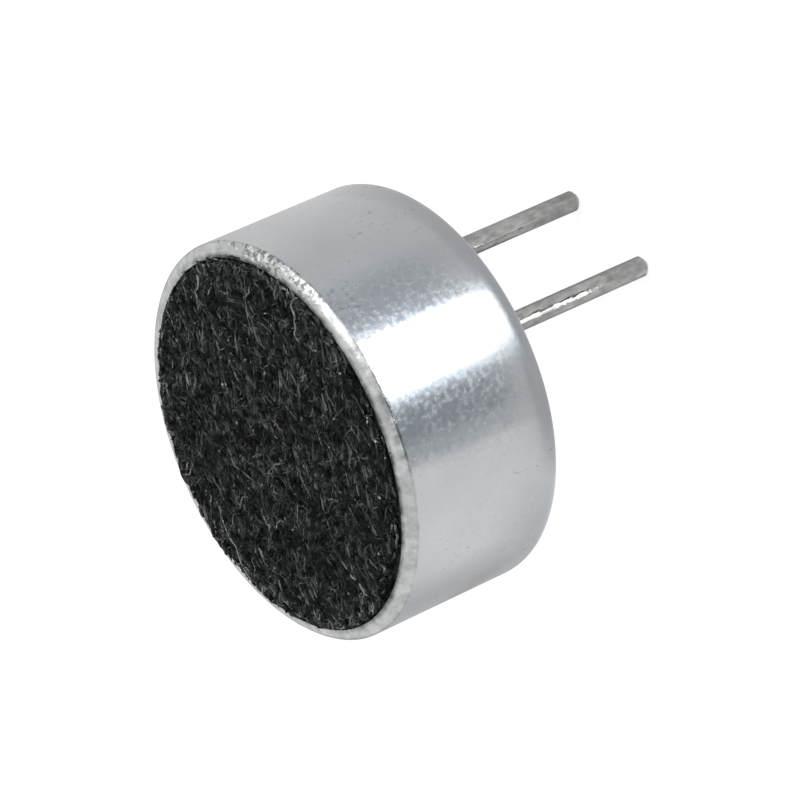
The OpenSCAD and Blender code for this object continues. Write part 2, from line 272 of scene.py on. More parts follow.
def rim_zones(tree):
    """Masks on the rim: its face, painted shade along its corner, painted shade along its inner edge by the
    felt, its worn side, a darker patch.
    """
    def reaching(azimuth, start, full):
        return ramp(tree, use(tree, PLACE, "Reach", Direction=compass(azimuth)), start, full)

    # each mask fades between two heights, radii or reaches in millimetres
    height = use(tree, PLACE, "Height")
    face = ramp(tree, height, 4.16, 4.21)
    off_line = maths(tree, "ABSOLUTE", maths(tree, "SUBTRACT", height, CORNER_SHADE_LINE))
    thin = ramp(tree, off_line, 0.006, 0.030, 1.0, 0.0)
    frayed = use(tree, MOTTLE, Scale=2800.0, Detail=4.0, Contrast=3.0)
    wandering = maths(tree, "MULTIPLY_ADD", frayed, -0.05, use(tree, PLACE, "Radius"))
    inner = ramp(tree, wandering, 4.54, 4.63, 1.0, 0.0)
    outer = ramp(tree, height, 4.36, 4.28)
    return {
        "face": face,
        # painted shade and dark reflection in the small corner, strongest on the side facing the camera
        "line": times(tree, thin, between(tree, reaching(CORNER_SHADED, 4.50, 4.76), 0.16, 1.0)),
        # painted shade along the rim's inner edge by the felt, on the side facing the camera
        "felt_edge_shade": times(tree, face, inner, reaching(NEAR, -1.5, 1.5)),
        "worn": reaching(WORN, 4.20, 4.60),
        # darker patch low on the rim's face, on the side towards the camera
        "dark_patch": times(tree, face, outer, reaching(DARKENED, 4.58, 4.76)),
    }


def tumbled_aluminium():
    """Satin aluminium with small marks all over, and a rubbed rim that is worn on one side, with painted
    sparkle and painted shade on the rim.
    """
    material, tree, skin = new_material("tumbled aluminium", Metallic=1.0)
    rim = rim_zones(tree)
    face, worn = rim["face"], rim["worn"]
    hands = use(tree, MOTTLE, Scale=520.0, Detail=4.0, Contrast=2.6)
    flakes = use(tree, MOTTLE, Scale=8000.0, Detail=2.0, Contrast=2.8)
    rubs = use(tree, MOTTLE, Scale=3600.0, Detail=4.0, Contrast=3.6)
    broken = use(tree, MOTTLE, Scale=1500.0, Detail=3.0, Contrast=4.0)
    marks = use(tree, SPECKS, Scale=8000.0, Stretch=(1.0, 1.0, 0.6), Amount=0.13)
    pits = use(tree, SPECKS, Scale=8000.0, Amount=0.33)
    painted_glints = use(tree, SPECKS, Scale=9500.0, Amount=0.27)
    colour = blend_colours(tree, hands, (0.525, 0.535, 0.545), (0.58, 0.585, 0.59))
    layers = [
        # small dark marks of the tumbling
        (marks, (0.44, 0.44, 0.43)),
        # rubbed rim, and its worn side
        (times(tree, face, rubs), (0.40, 0.41, 0.405)),
        (times(tree, face, worn), (0.45, 0.46, 0.455)),
        # pits in the rim, most of them on the worn side, and painted glint spots beside them
        (times(tree, face, pits, between(tree, worn, 0.15, 1.0)), (0.20, 0.205, 0.20)),
        (times(tree, face, painted_glints, worn), (0.74, 0.75, 0.75)),
        # darker patch, broken line of painted shade at the corner, and painted shade along the felt
        (times(tree, rim["dark_patch"], rubs), (0.20, 0.205, 0.21)),
        (times(tree, rim["line"], between(tree, broken, 0.45, 1.0)), (0.045, 0.045, 0.048)),
        (times(tree, rim["felt_edge_shade"], between(tree, rubs, 0.6, 1.1)), (0.06, 0.062, 0.062)),
    ]
    for mask, tint in layers:
        colour = blend_colours(tree, mask, colour, tint)
    tree.links.new(colour, skin["Base Color"])

    # the side is unevenly dull, less so next to the crimped edge, and the rim's face is duller
    calmer = ramp(tree, use(tree, PLACE, "Height"), 0.4, 0.9, 0.25, 1.0)
    uneven = maths(tree, "MULTIPLY_ADD", maths(tree, "SUBTRACT", flakes, 0.5), calmer, 0.5)
    side = between(tree, uneven, 0.12, 0.29)
    tree.links.new(maths(tree, "MULTIPLY_ADD", face, 0.09, side), skin["Roughness"])
    peened = bumped(tree, use(tree, GRAIN, Scale=14000.0), 0.0006)
    tree.links.new(bumped(tree, times(tree, rubs, face), 0.006, under=peened), skin["Normal"])
    return material


def black_felt_ground():
    """Matted body of the felt, with pale lint where it was cut."""
    material, tree, skin = new_material("black felt ground", Roughness=0.95, Specular_IOR_Level=0.02)
    tufts = use(tree, MOTTLE, Scale=2400.0, Detail=4.0, Contrast=3.0)
    plain = blend_colours(tree, tufts, (0.0018, 0.0020, 0.0020), (0.010, 0.011, 0.0107))
    edge = ramp(tree, use(tree, PLACE, "Radius"), 4.30, 4.42)
    lint = times(tree, edge, between(tree, tufts, 0.4, 1.0))
    tree.links.new(blend_colours(tree, lint, plain, (0.042, 0.044, 0.043)), skin["Base Color"])
    tree.links.new(bumped(tree, use(tree, GRAIN, Scale=7000.0), 0.02), skin["Normal"])
    return material


def felt_fibre(name, dark, light, glint, patches=4000.0):
    """Fibres get painted shade where they dip into the felt, are as light on top as their own tone, and
    carry painted sparkle on top.
    """
    material, tree, skin = new_material(name, Roughness=0.75, Specular_IOR_Level=0.05)
    # painted shade: the lower a fibre lies in the felt, the darker it is
    clear_of_shade = ramp(tree, use(tree, PLACE, "Height"), FELT_TOP - 0.03, FELT_TOP + 0.08)
    # tone of each fibre, with painted light on those at the felt's edge
    tone = put(tree, "ShaderNodeAttribute", attribute_name="tone").outputs["Fac"]
    tufts = use(tree, MOTTLE, Scale=patches, Detail=2.0, Contrast=3.2)
    regions = between(tree, use(tree, MOTTLE, Scale=1300.0, Detail=2.0, Contrast=3.0), 0.45, 1.35)
    plain = blend_colours(tree, times(tree, clear_of_shade, tufts, regions, tone), dark, light)
    # painted sparkle in small spots on the upper fibres
    painted_sparkles = times(tree, use(tree, SPECKS, Scale=4600.0, Amount=0.17, Gathered=0.1), clear_of_shade)
    tree.links.new(blend_colours(tree, painted_sparkles, plain, glint), skin["Base Color"])
    return material


def dull_tin():
    """Uneven hot tin on drawn wire, stained in spots, dark at its cut end, with painted shade along its
    outline.
    """
    material, tree, skin = new_material("dull tin", Metallic=1.0)
    patches = use(tree, MOTTLE, Scale=2200.0, Stretch=(1.0, 1.0, 0.5), Detail=3.0, Contrast=3.0)
    stains = use(tree, MOTTLE, Scale=9000.0, Stretch=(1.0, 1.0, 0.4), Detail=3.0, Contrast=3.4)
    plain = blend_colours(tree, patches, (0.41, 0.41, 0.40), (0.58, 0.58, 0.57))
    grimy = blend_colours(tree, patches, (0.26, 0.26, 0.255), (0.43, 0.43, 0.42))
    tinned = blend_colours(tree, stains, grimy, plain)
    cut = ramp(tree, use(tree, PLACE, "Height"), FLOOR_Z + 0.10, FLOOR_Z + 0.05)
    # painted shade along the outline, where the surface turns away from the camera
    turning = put(tree, "ShaderNodeLayerWeight", {"Blend": 0.5}).outputs["Facing"]
    dark = maths(tree, "MAXIMUM", cut, ramp(tree, turning, 0.46, 0.80, 0.0, 0.85))
    tree.links.new(blend_colours(tree, dark, tinned, (0.11, 0.11, 0.11)), skin["Base Color"])
    tree.links.new(between(tree, patches, 0.26, 0.14), skin["Roughness"])
    drawn = use(tree, GRAIN, Scale=4600.0, Stretch=(1.0, 1.0, 0.55))
    tree.links.new(bumped(tree, drawn, 0.03), skin["Normal"])
    return material


def patchy_finish(name, low, high, rough, patches, grain_scale, depth, **fixed):
    """A finish whose colour and gloss vary together in soft patches, with a fine grain."""
    material, tree, skin = new_material(name, **fixed)
    mask = use(tree, MOTTLE, **patches)
    tree.links.new(blend_colours(tree, mask, low, high), skin["Base Color"])
    tree.links.new(between(tree, mask, *rough), skin["Roughness"])
    tree.links.new(bumped(tree, use(tree, GRAIN, Scale=grain_scale), depth), skin["Normal"])
    return material


def bright_metal(name, low, high, rough, grain_scale=5000.0, depth=0.003):
    """Plain or tinned metal of the small pieces."""
    patches = {"Scale": 900.0, "Detail": 3.0, "Contrast": 2.5}
    return patchy_finish(name, low, high, rough, patches, grain_scale, depth, Metallic=1.0)


def moulded(name, low, high, rough, depth=0.004):
    """Moulded plastic, film or ceramic."""
    patches = {"Scale": 700.0, "Detail": 3.0, "Contrast": 2.0}
    return patchy_finish(name, low, high, rough, patches, 6000.0, depth)


def green_board():
    """Solder mask over glass cloth, whose threads show as a faint weave."""
    material, tree, skin = new_material("green board")
    patches = use(tree, MOTTLE, Scale=500.0, Detail=3.0, Contrast=2.0)
    place = put(tree, "ShaderNodeTexCoord").outputs["Object"]
    weave = times(tree, *(
        put(tree, "ShaderNodeTexWave", {"Vector": place, "Scale": 620.0, "Distortion": 1.2},
            bands_direction=way).outputs["Fac"] for way in ("X", "Y")))
    plain = blend_colours(tree, patches, (0.012, 0.13, 0.05), (0.02, 0.19, 0.075))
    tree.links.new(blend_colours(tree, weave, plain, (0.03, 0.23, 0.095)), skin["Base Color"])
    tree.links.new(between(tree, patches, 0.24, 0.36), skin["Roughness"])
    tree.links.new(bumped(tree, weave, 0.002), skin["Normal"])
    return material


ALUMINIUM = tumbled_aluminium()
FELT_GROUND = black_felt_ground()
# colours of each fibre: deep in the felt, on top, and its painted sparkle
FIBRE_DARK = felt_fibre("black felt fibre", (0.0026, 0.003, 0.0029), (0.036, 0.0395, 0.0386),
                        (0.09, 0.10, 0.098))
FIBRE_GREY = felt_fibre("grey felt fibre", (0.004, 0.0044, 0.0043), (0.096, 0.103, 0.101),
                        (0.34, 0.35, 0.35))
FIBRE_LIGHT = felt_fibre("light felt fibre", (0.006, 0.0065, 0.0065), (0.19, 0.20, 0.197),
                         (0.50, 0.51, 0.51), patches=3000.0)
TIN = dull_tin()
SOLDER = bright_metal("bright solder", (0.66, 0.67, 0.69), (0.76, 0.77, 0.79), (0.16, 0.30), 2600.0, 0.006)
TINNED_FOIL = bright_metal("tinned foil", (0.60, 0.61, 0.62), (0.72, 0.73, 0.74), (0.22, 0.38),
                           2200.0, 0.005)
BRASS = bright_metal("brass", (0.70, 0.55, 0.30), (0.80, 0.64, 0.36), (0.24, 0.36))
COPPER = bright_metal("copper foil", (0.66, 0.38, 0.20), (0.76, 0.46, 0.26), (0.24, 0.38))
LEAD_TIN = bright_metal("tinned lead", (0.60, 0.61, 0.62), (0.70, 0.71, 0.72), (0.28, 0.40))
ADHESIVE = moulded("acrylic adhesive", (0.70, 0.64, 0.48), (0.80, 0.74, 0.58), (0.25, 0.40))
POLYESTER = moulded("polyester film", (0.74, 0.76, 0.74), (0.82, 0.84, 0.82), (0.08, 0.16), 0.001)
SPACER_FILM = moulded("spacer film", (0.78, 0.70, 0.46), (0.86, 0.80, 0.58), (0.35, 0.50), 0.002)
INSULATOR = moulded("ivory insulator", (0.80, 0.77, 0.70), (0.88, 0.86, 0.80), (0.38, 0.50))
EPOXY = moulded("black epoxy", (0.018, 0.018, 0.020), (0.036, 0.036, 0.039), (0.50, 0.62), 0.006)
CERAMIC = moulded("fired ceramic", (0.40, 0.29, 0.19), (0.52, 0.40, 0.28), (0.45, 0.60), 0.005)
BOARD = green_board()

NODE_FINISH = {
    "can": ALUMINIUM, "felt_disc": FELT_GROUND, "adhesive_ring": ADHESIVE,
    "diaphragm_ring": BRASS, "diaphragm_film": POLYESTER, "spacer_ring": SPACER_FILM,
    "electret_film": POLYESTER, "back_plate": BRASS, "holder_ring": INSULATOR, "contact_ring": BRASS,
    "circuit_board": BOARD, "gate_foil": COPPER, "drain_foil": COPPER, "source_foil": COPPER,
    "ground_foil": TINNED_FOIL, "output_foil": TINNED_FOIL,
    "transistor_body": EPOXY, "gate_lead": LEAD_TIN, "drain_lead": LEAD_TIN, "source_lead": LEAD_TIN,
    "capacitor_a": CERAMIC, "capacitor_a_ends": LEAD_TIN,
    "capacitor_b": CERAMIC, "capacitor_b_ends": LEAD_TIN,
    "pin_output": TIN, "pin_ground": TIN, "solder_output": SOLDER, "solder_ground": SOLDER,
}
for node_name, finish in NODE_FINISH.items():
    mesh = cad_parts[node_name].data
    if mesh.materials:
        for index in range(len(mesh.materials)):
            mesh.materials[index] = finish
    else:
        mesh.materials.append(finish)


# Meshes and turned shapes

def link(name, mesh):
    """A mesh as an object of the scene."""
    obj = bpy.data.objects.new(name, mesh)
    bpy.context.scene.collection.objects.link(obj)
    return obj


def add_mesh(name, points, faces, material, sharp):
    """A mesh object from points in millimetres, smooth except at edges sharper than the given angle."""
    mesh = bpy.data.meshes.new(name)
    mesh.from_pydata([(x * MM, y * MM, z * MM) for x, y, z in points], [], faces)
    mesh.validate()
    mesh.materials.append(material)
    mesh.shade_smooth()
    mesh.set_sharp_from_angle(angle=math.radians(sharp))
    return link(name, mesh)


def arc(centre_r, centre_z, radius, first, last, steps):
    """Points of an arc in the half section, angles in degrees from the outward direction."""
    return [(centre_r + radius * math.cos(math.radians(first + (last - first) * i / steps)),
             centre_z + radius * math.sin(math.radians(first + (last - first) * i / steps)))
            for i in range(steps + 1)]


def line(start, end, steps):
    """Points from start to end, without the end."""
    return [(start[0] + (end[0] - start[0]) * i / steps, start[1] + (end[1] - start[1]) * i / steps)
            for i in range(steps)]


def turn(section, segments):
    """Points and faces of an open section turned round the z axis at the origin."""
    points = []
    for r, z in section:
        for k in range(segments):
            a = 2 * math.pi * k / segments
            points.append((r * math.cos(a), r * math.sin(a), z))
    faces = []
    for i in range(len(section) - 1):
        near, far = i * segments, (i + 1) * segments
        for k in range(segments):
            n = (k + 1) % segments
            faces.append((near + k, near + n, far + n, far + k))
    return points, faces


# Can

# Radius of the middle that front_wall fills, and how far the two overlap
MIDDLE_R = 2.9
OVERLAP = 0.05
# Sound holes: one in the middle and six on a circle
HOLE_R = 0.35
HOLE_CIRCLE_R = 2.0
# Greatest dent of the side
DENT = 0.003
# Distances outside the felt up to which the rim follows the felt's cut edge wholly, and at all
LIP_START, LIP_END = 0.06, 0.34


def can_section():
    """Half section of the can from the edge of its front wall, out over the rim and back inside."""
    roll, corner, face_r = 0.06, 0.06, 0.5
    crimp, rear_edge, rear_roll = 0.4, 0.75, 0.1
    floor_z = CAN_H - RECESS
    under_z = floor_z - FRONT
    inner_r = CAN_R - WALL
    rear_r = CAN_R - rear_edge
    bend = crimp - WALL
    # the rim's face is an arc between the roll over the felt and the small outer corner
    first = Vector((FELT_R + roll, CREST - roll))
    last = Vector((CAN_R - corner, SIDE_TOP))
    across = last - first
    inward = Vector((across.y, -across.x)).normalized()
    centre = (first + last) / 2 + inward * math.sqrt((face_r - roll) ** 2 - (across.length / 2) ** 2)
    joint = math.degrees(math.atan2(first.y - centre.y, first.x - centre.x))
    corner_joint = math.degrees(math.atan2(last.y - centre.y, last.x - centre.x))

    # recess and rim
    s = line((MIDDLE_R, floor_z), (FELT_R, floor_z), 4)
    s += line((FELT_R, floor_z), (FELT_R, first.y), 8)
    s += arc(first.x, first.y, roll, 180, joint, 10)
    s += arc(centre.x, centre.y, face_r, joint - 2, corner_joint + 2, 22)
    s += arc(last.x, last.y, corner, corner_joint, 0, 8)
    # plain side and crimped rear edge
    s += line((CAN_R, last.y - 0.03), (CAN_R, crimp), 60)
    s += arc(CAN_R - crimp, crimp, crimp, 0, -90, 26)
    s += line((CAN_R - crimp - 0.02, 0), (rear_r + rear_roll, 0), 4)
    s += arc(rear_r + rear_roll, rear_roll, rear_roll, -90, -180, 8)
    # inside, from the crimp to the back of the front wall
    s += line((rear_r, rear_roll + 0.02), (rear_r, WALL), 3)
    s += line((rear_r, WALL), (inner_r - bend, WALL), 3)
    s += arc(inner_r - bend, WALL + bend, bend, -90, 0, 6)
    s += line((inner_r, crimp + 0.02), (inner_r, under_z), 6)
    s += line((inner_r, under_z), (MIDDLE_R, under_z), 5)
    s += [(MIDDLE_R, under_z)]
    return s


def felt_edge(angle):
    """Radius of the felt's cut edge, which is a little flattened towards +X."""
    flattened, spread = 0.07, 38
    azimuth = np.degrees(np.arctan2(np.sin(angle), np.cos(angle)))
    return FELT_R - flattened * np.exp(-(azimuth / spread) ** 2)


def can_shell():
    """The can as one turned skin, not quite even outside, its inner lip against the felt's edge."""
    points, faces = turn(can_section(), 360)
    shaped = []
    for x, y, z in points:
        r = math.hypot(x, y)
        low = 0.0
        # outer skin, without the flat of the crimp
        if r > CAN_R - 0.25 and z > 0.02:
            low = DENT * noise.noise(Vector((x * 0.8, y * 0.8, z * 0.55 + 7.0)))
        # lip beside the felt and over it
        if z > FELT_TOP - 0.2 and FELT_R - 0.01 < r < FELT_R + LIP_END:
            share = min(1.0, (FELT_R + LIP_END - r) / (LIP_END - LIP_START))
            low += (FELT_R - float(felt_edge(math.atan2(y, x)))) * share
        scale = (r - low) / r
        shaped.append((x * scale, y * scale + AXIS_Y, z))
    return add_mesh("can_shell", shaped, faces, ALUMINIUM, 40)


def front_wall():
    """Middle of the front wall with its seven sound holes, as a filled outline."""
    curve = bpy.data.curves.new("front_wall", "CURVE")
    curve.dimensions = "2D"
    curve.fill_mode = "BOTH"
    curve.extrude = FRONT / 2 * MM
    circles = [(0, 0, MIDDLE_R + OVERLAP), (0, 0, HOLE_R)]
    for i in range(6):
        a = math.radians(60 * i)
        circles.append((HOLE_CIRCLE_R * math.cos(a), HOLE_CIRCLE_R * math.sin(a), HOLE_R))
    for cx, cy, radius in circles:
        count = 120 if radius > 1 else 40
        spline = curve.splines.new("POLY")
        spline.points.add(count - 1)
        for k, point in enumerate(spline.points):
            a = 2 * math.pi * k / count
            point.co = ((cx + radius * math.cos(a)) * MM, (cy + radius * math.sin(a)) * MM, 0, 1)
        spline.use_cyclic_u = True
    outline = link("front_wall", curve)
    bpy.context.view_layer.update()
    mesh = bpy.data.meshes.new_from_object(outline.evaluated_get(bpy.context.evaluated_depsgraph_get()))
    bpy.data.objects.remove(outline)
    mesh.name = "front_wall"
    mesh.materials.clear()
    mesh.materials.append(ALUMINIUM)
    mesh.transform(Matrix.Translation((0, AXIS_Y * MM, (CAN_H - RECESS - FRONT / 2) * MM)))
    return link("front_wall", mesh)


shell = can_shell()
wall = front_wall()
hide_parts("can")
for piece in (shell, wall):
    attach(piece, "root")


# Felt

# How far the felt's dense ground lies under the level of its top, and the bevel of its cut edge
GROUND_DROP = 0.03
GROUND_BEVEL = 0.02
# Tufts: size in millimetres and weight of the waves that gather the fibres, how many of each size, and what
# their sum is divided by
TUFT_WAVES = ((1.3, 0.5), (0.55, 0.8), (0.3, 0.6))
WAVES_EACH = 14
WAVE_SUM = 3.2
TUFT_SEED = 5
# Widths of the felt's border: where fibres turn inwards or were pressed down, and where they stand lower
BORDER = 0.40
LOW_BORDER = 0.22
# How far inside the cut edge fibres stop, and how far they may pass that on the loose side and elsewhere
STOP_INSIDE = 0.04
PASS_LOOSE, PASS_HELD = 0.14, 0.03


def felt_height(x, y):
    """Height of the felt's uneven top over its flat level, in millimetres."""
    r = math.hypot(x, y)
    tufts = 0.022 * noise.noise(Vector((x * 2.2, y * 2.2, 3.1)))
    tufts += 0.026 * noise.noise(Vector((x * 5.5, y * 5.5, 9.4)))
    border = max(0.0, (r - (FELT_R - 0.35)) / 0.35)
    return tufts - 0.02 * border ** 2


def felt_ground():
    """Dense body of the felt, below its loose fibres."""
    rings, segments = 110, 260
    angles = [2 * math.pi * k / segments for k in range(segments)]
    top = FELT_TOP - GROUND_DROP
    points = [(0.0, AXIS_Y, top + felt_height(0, 0))]
    for i in range(1, rings + 1):
        for a in angles:
            r = (felt_edge(a) - GROUND_BEVEL) * i / rings
            x, y = r * math.cos(a), r * math.sin(a)
            points.append((x, y + AXIS_Y, top + felt_height(x, y)))
    for a in angles:
        x, y = felt_edge(a) * math.cos(a), felt_edge(a) * math.sin(a)
        points.append((x, y + AXIS_Y, FELT_Z + GROUND_BEVEL))
    for a in angles:
        points.append((FELT_R * math.cos(a), FELT_R * math.sin(a) + AXIS_Y, FELT_Z))
    points.append((0.0, AXIS_Y, FELT_Z))
    faces = []
    for k in range(segments):
        n = (k + 1) % segments
        faces.append((0, 1 + k, 1 + n))
        for i in range(rings + 1):
            a, b = 1 + i * segments, 1 + (i + 1) * segments
            faces.append((a + k, b + k, b + n, a + n))
        last = 1 + (rings + 1) * segments
        faces.append((last + k, len(points) - 1, last + n))
    return add_mesh("felt_ground", points, faces, FELT_GROUND, 60)


felt = felt_ground()
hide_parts("felt_disc")
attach(felt, "root")


def strand_mesh(name, path, half, tone, material):
    """A mesh of three-sided strands from their paths, half thicknesses and tones, in millimetres."""
    count, joints, _ = path.shape
    sides = 3
    along = np.gradient(path, axis=1)
    along /= np.linalg.norm(along, axis=2, keepdims=True) + 1e-9
    side = np.cross(along, np.array([0.0, 0.0, 1.0]))
    side /= np.linalg.norm(side, axis=2, keepdims=True) + 1e-9
    up = np.cross(side, along)
    taper = np.ones(joints)
    taper[0], taper[-1] = 0.4, 0.3
    width = half[:, None, None] * taper[None, :, None]
    rings = []
    for k in range(sides):
        a = 2 * math.pi * k / sides + math.pi / 2
        rings.append(path + width * (side * math.cos(a) + up * math.sin(a)))
    points = np.stack(rings, axis=2).reshape(-1, 3)
    points[:, 1] += AXIS_Y
    points *= MM
    start = np.arange(count)[:, None, None] * joints * sides + np.arange(joints - 1)[None, :, None] * sides
    k = np.arange(sides)[None, None, :]
    n = (k + 1) % sides
    quads = np.stack([start + k, start + n, start + sides + n, start + sides + k], axis=3).reshape(-1, 4)
    mesh = bpy.data.meshes.new(name)
    mesh.vertices.add(len(points))
    mesh.vertices.foreach_set("co", points.astype(np.float32).ravel())
    mesh.loops.add(quads.size)
    mesh.loops.foreach_set("vertex_index", quads.astype(np.int32).ravel())
    mesh.polygons.add(len(quads))
    mesh.polygons.foreach_set("loop_start", np.arange(0, quads.size, 4, dtype=np.int32))
    mesh.update(calc_edges=True)
    mesh.validate()
    tones = np.repeat(tone, joints * sides).astype(np.float32)
    mesh.attributes.new("tone", "FLOAT", "POINT").data.foreach_set("value", tones)
    mesh.materials.append(material)
    mesh.shade_smooth()
    return mesh


def clumps(x, y):
    """Soft random field over the felt, from about -1 to 1, that gathers the fibres into tufts."""
    rng = np.random.default_rng(TUFT_SEED)
    field = np.zeros_like(x)
    for size, weight in TUFT_WAVES:
        for _ in range(WAVES_EACH):
            a = rng.random() * 2 * np.pi
            pitch = 2 * np.pi / (size * rng.uniform(0.7, 1.4))
            phase = rng.random() * 2 * np.pi
            field += weight * np.sin(pitch * (x * np.cos(a) + y * np.sin(a)) + phase) / WAVE_SUM
    return np.clip(field, -1, 1)


def facing(angle, azimuth):
    """Cosine between an angle round the axis and a direction."""
    return np.cos(angle - math.radians(azimuth))


def pressed_side(angle):
    """1 on the side where the felt's border was pressed down, 0 elsewhere."""
    return np.clip(facing(angle, PRESSED) * 3 - 1.8, 0, 1)


def fibre_roots(rng, count):
    """Where fibres start: more in the tufts, fewer in the pressed border."""
    tried = count * 5
    around = rng.random(tried) * 2 * np.pi
    r = (felt_edge(around) - 0.03) * np.sqrt(rng.random(tried))
    x, y = r * np.cos(around), r * np.sin(around)
    tuft = clumps(x, y)
    pressed = pressed_side(around) * np.clip((r - (FELT_R - BORDER)) / 0.08, 0, 1)
    wanted = (0.55 + 0.45 * tuft) * (1 - 0.5 * pressed)
    kept = np.flatnonzero(rng.random(tried) < wanted)[:count]
    return x[kept], y[kept], tuft[kept]


def fibre_ways(rng, x, y, combed, joints):
    """Direction of each stretch of a fibre, seen from the front: a share combed one way, none straight."""
    count = len(x)
    heading = np.where(rng.random(count) < combed, math.radians(COMBED) + rng.normal(0, 0.4, count),
                       rng.random(count) * 2 * np.pi)
    heading += np.where(rng.random(count) < 0.5, np.pi, 0.0)
    outward = (np.hypot(x, y) > FELT_R - BORDER) & (np.cos(heading - np.arctan2(y, x)) > 0.2)
    heading = np.where(outward, heading + np.pi, heading)
    bend = rng.normal(0, 1.2, count)
    t = np.linspace(0, 1, joints)
    return heading[:, None] + bend[:, None] * (t[None, :] - 0.5) + rng.normal(0, 0.34, (count, joints))


def fibre_stops(rng, angle):
    """Radius that each fibre ends at: a few reach over the rim, many stop short in the pressed border."""
    count = len(angle)
    over = np.where(facing(angle, LOOSE) > 0.2, PASS_LOOSE, PASS_HELD)
    stop = felt_edge(angle) - STOP_INSIDE + rng.exponential(0.035, count).clip(0, over)
    stop -= pressed_side(angle) * np.clip(0.20 - rng.exponential(0.09, count), 0, 1)
    return stop + 0.012 * np.clip(-2 * facing(angle, LOOSE), 0, 1)


def fibre_plan(x, y, way, grown, stop):
    """Fibres seen from the front, shortened until they keep inside their stops."""
    joints = way.shape[1]
    root = np.hypot(x, y)
    cut = np.ones(len(x))
    for _ in range(3):
        step = (grown * cut)[:, None] / (joints - 1)
        px = x[:, None] + np.cumsum(np.cos(way) * step, axis=1)
        py = y[:, None] + np.cumsum(np.sin(way) * step, axis=1)
        out = np.hypot(px, py).max(axis=1)
        room = np.clip((stop - root) / np.maximum(out - root, 1e-6), 0.12, 1)
        cut = np.where(out > stop, cut * room, cut)
    out = np.hypot(px, py)
    held = np.minimum(out, stop[:, None])
    return px * held / out, py * held / out, held


def fibres(name, material, count, seed, length, level, dip, thickness, combed, joints):
    """Fibres that weave in and out of the felt, bent, tapered, and cut short at the felt's edge."""
    rng = np.random.default_rng(seed)
    x, y, tuft = fibre_roots(rng, count)
    count = len(x)
    angle = np.arctan2(y, x)
    grown = length[0] + (length[1] - length[0]) * rng.random(count) ** 1.6
    way = fibre_ways(rng, x, y, combed, joints)
    px, py, held = fibre_plan(x, y, way, grown, fibre_stops(rng, angle))

    t = np.linspace(0, 1, joints)
    middle = rng.uniform(level[0], level[1], count) + 0.03 * tuft
    wave = np.sin(2 * np.pi * (rng.uniform(0.4, 1.0, count)[:, None] * t + rng.random(count)[:, None]))
    rise = middle[:, None] + dip * rng.uniform(0.5, 1.2, count)[:, None] * wave
    border = np.clip((held - (FELT_R - LOW_BORDER)) / 0.18, 0, 1)
    pz = FELT_TOP + rise - border * (0.4 * np.maximum(rise, 0) - 0.014)
    # where the felt is loose, fibres that leave it lie on the rim
    loose = facing(angle, LOOSE) >= 0
    pz = np.where((held > FELT_R - 0.005) & loose[:, None], np.maximum(pz, CAN_H - 0.04), pz)

    # fibres at the edge get painted light in their tone, except where they were pressed down
    lit = (border.max(axis=1) > 0.3) & (pressed_side(angle) < 0.2)
    tone = (0.35 + 0.65 * rng.random(count)) * np.where(lit, 3.2, 1.0)
    half = thickness * rng.uniform(0.35, 0.65, count)
    obj = link(name, strand_mesh(name, np.stack([px, py, pz], axis=2), half, tone, material))
    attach(obj, "root")


# Sets of fibres. Lengths, levels over the felt's top, dips and thicknesses are in millimetres, and
# combed is the share that runs the way the felt was combed.
FIBRE_SETS = [
    dict(name="felt_nap_low", material=FIBRE_DARK, count=6200, seed=11, length=(0.20, 1.00),
         level=(-0.045, -0.005), dip=0.028, thickness=0.092, combed=0.32, joints=6),
    dict(name="felt_nap_high", material=FIBRE_DARK, count=6000, seed=12, length=(0.20, 0.90),
         level=(-0.030, 0.025), dip=0.036, thickness=0.086, combed=0.32, joints=6),
    dict(name="felt_strands", material=FIBRE_GREY, count=5000, seed=13, length=(0.20, 1.00),
         level=(-0.035, 0.022), dip=0.040, thickness=0.080, combed=0.32, joints=6),
    dict(name="felt_threads", material=FIBRE_LIGHT, count=1250, seed=14, length=(0.7, 2.6),
         level=(-0.010, 0.028), dip=0.034, thickness=0.056, combed=0.6, joints=14),
]
for fibre_set in FIBRE_SETS:
    fibres(**fibre_set)


# Camera, at the photograph's viewing angle

CAMERA_LENS = 254.8
CAMERA_AT = Vector((-65.340, -87.619, 68.963))
CAMERA_FORWARD = Vector((0.50004, 0.69097, -0.52204))
CAMERA_RIGHT = Vector((-0.61135, -0.14530, -0.77791))


def camera():
    """Camera of the scene, turned by its forward and right directions."""
    data = bpy.data.cameras.new("camera")
    data.sensor_width = 36.0
    data.lens = CAMERA_LENS
    data.clip_start = 0.005
    data.clip_end = 5.0
    obj = link("camera", data)
    up = CAMERA_RIGHT.cross(CAMERA_FORWARD)
    turned = Matrix((CAMERA_RIGHT, up, -CAMERA_FORWARD)).transposed().to_4x4()
    obj.matrix_world = Matrix.Translation(CAMERA_AT * MM) @ turned
    bpy.context.scene.camera = obj


camera()


# Floor, world and lamps

# Half the floor's side, its grey, its own light, and the world's light on the object
FLOOR_HALF = 600.0
FLOOR_GREY = 0.3
FLOOR_GLOW = 0.80
WORLD_LIGHT = 0.80
# What the lamps are turned to
LAMP_AIM = Vector((0.0, AXIS_Y, 2.0))


def seen_plain(tree):
    """1 for camera, glossy and transmission rays, which see the plain white ground."""
    path = put(tree, "ShaderNodeLightPath").outputs
    first = maths(tree, "MAXIMUM", path["Is Camera Ray"], path["Is Glossy Ray"])
    return maths(tree, "MAXIMUM", first, path["Is Transmission Ray"])


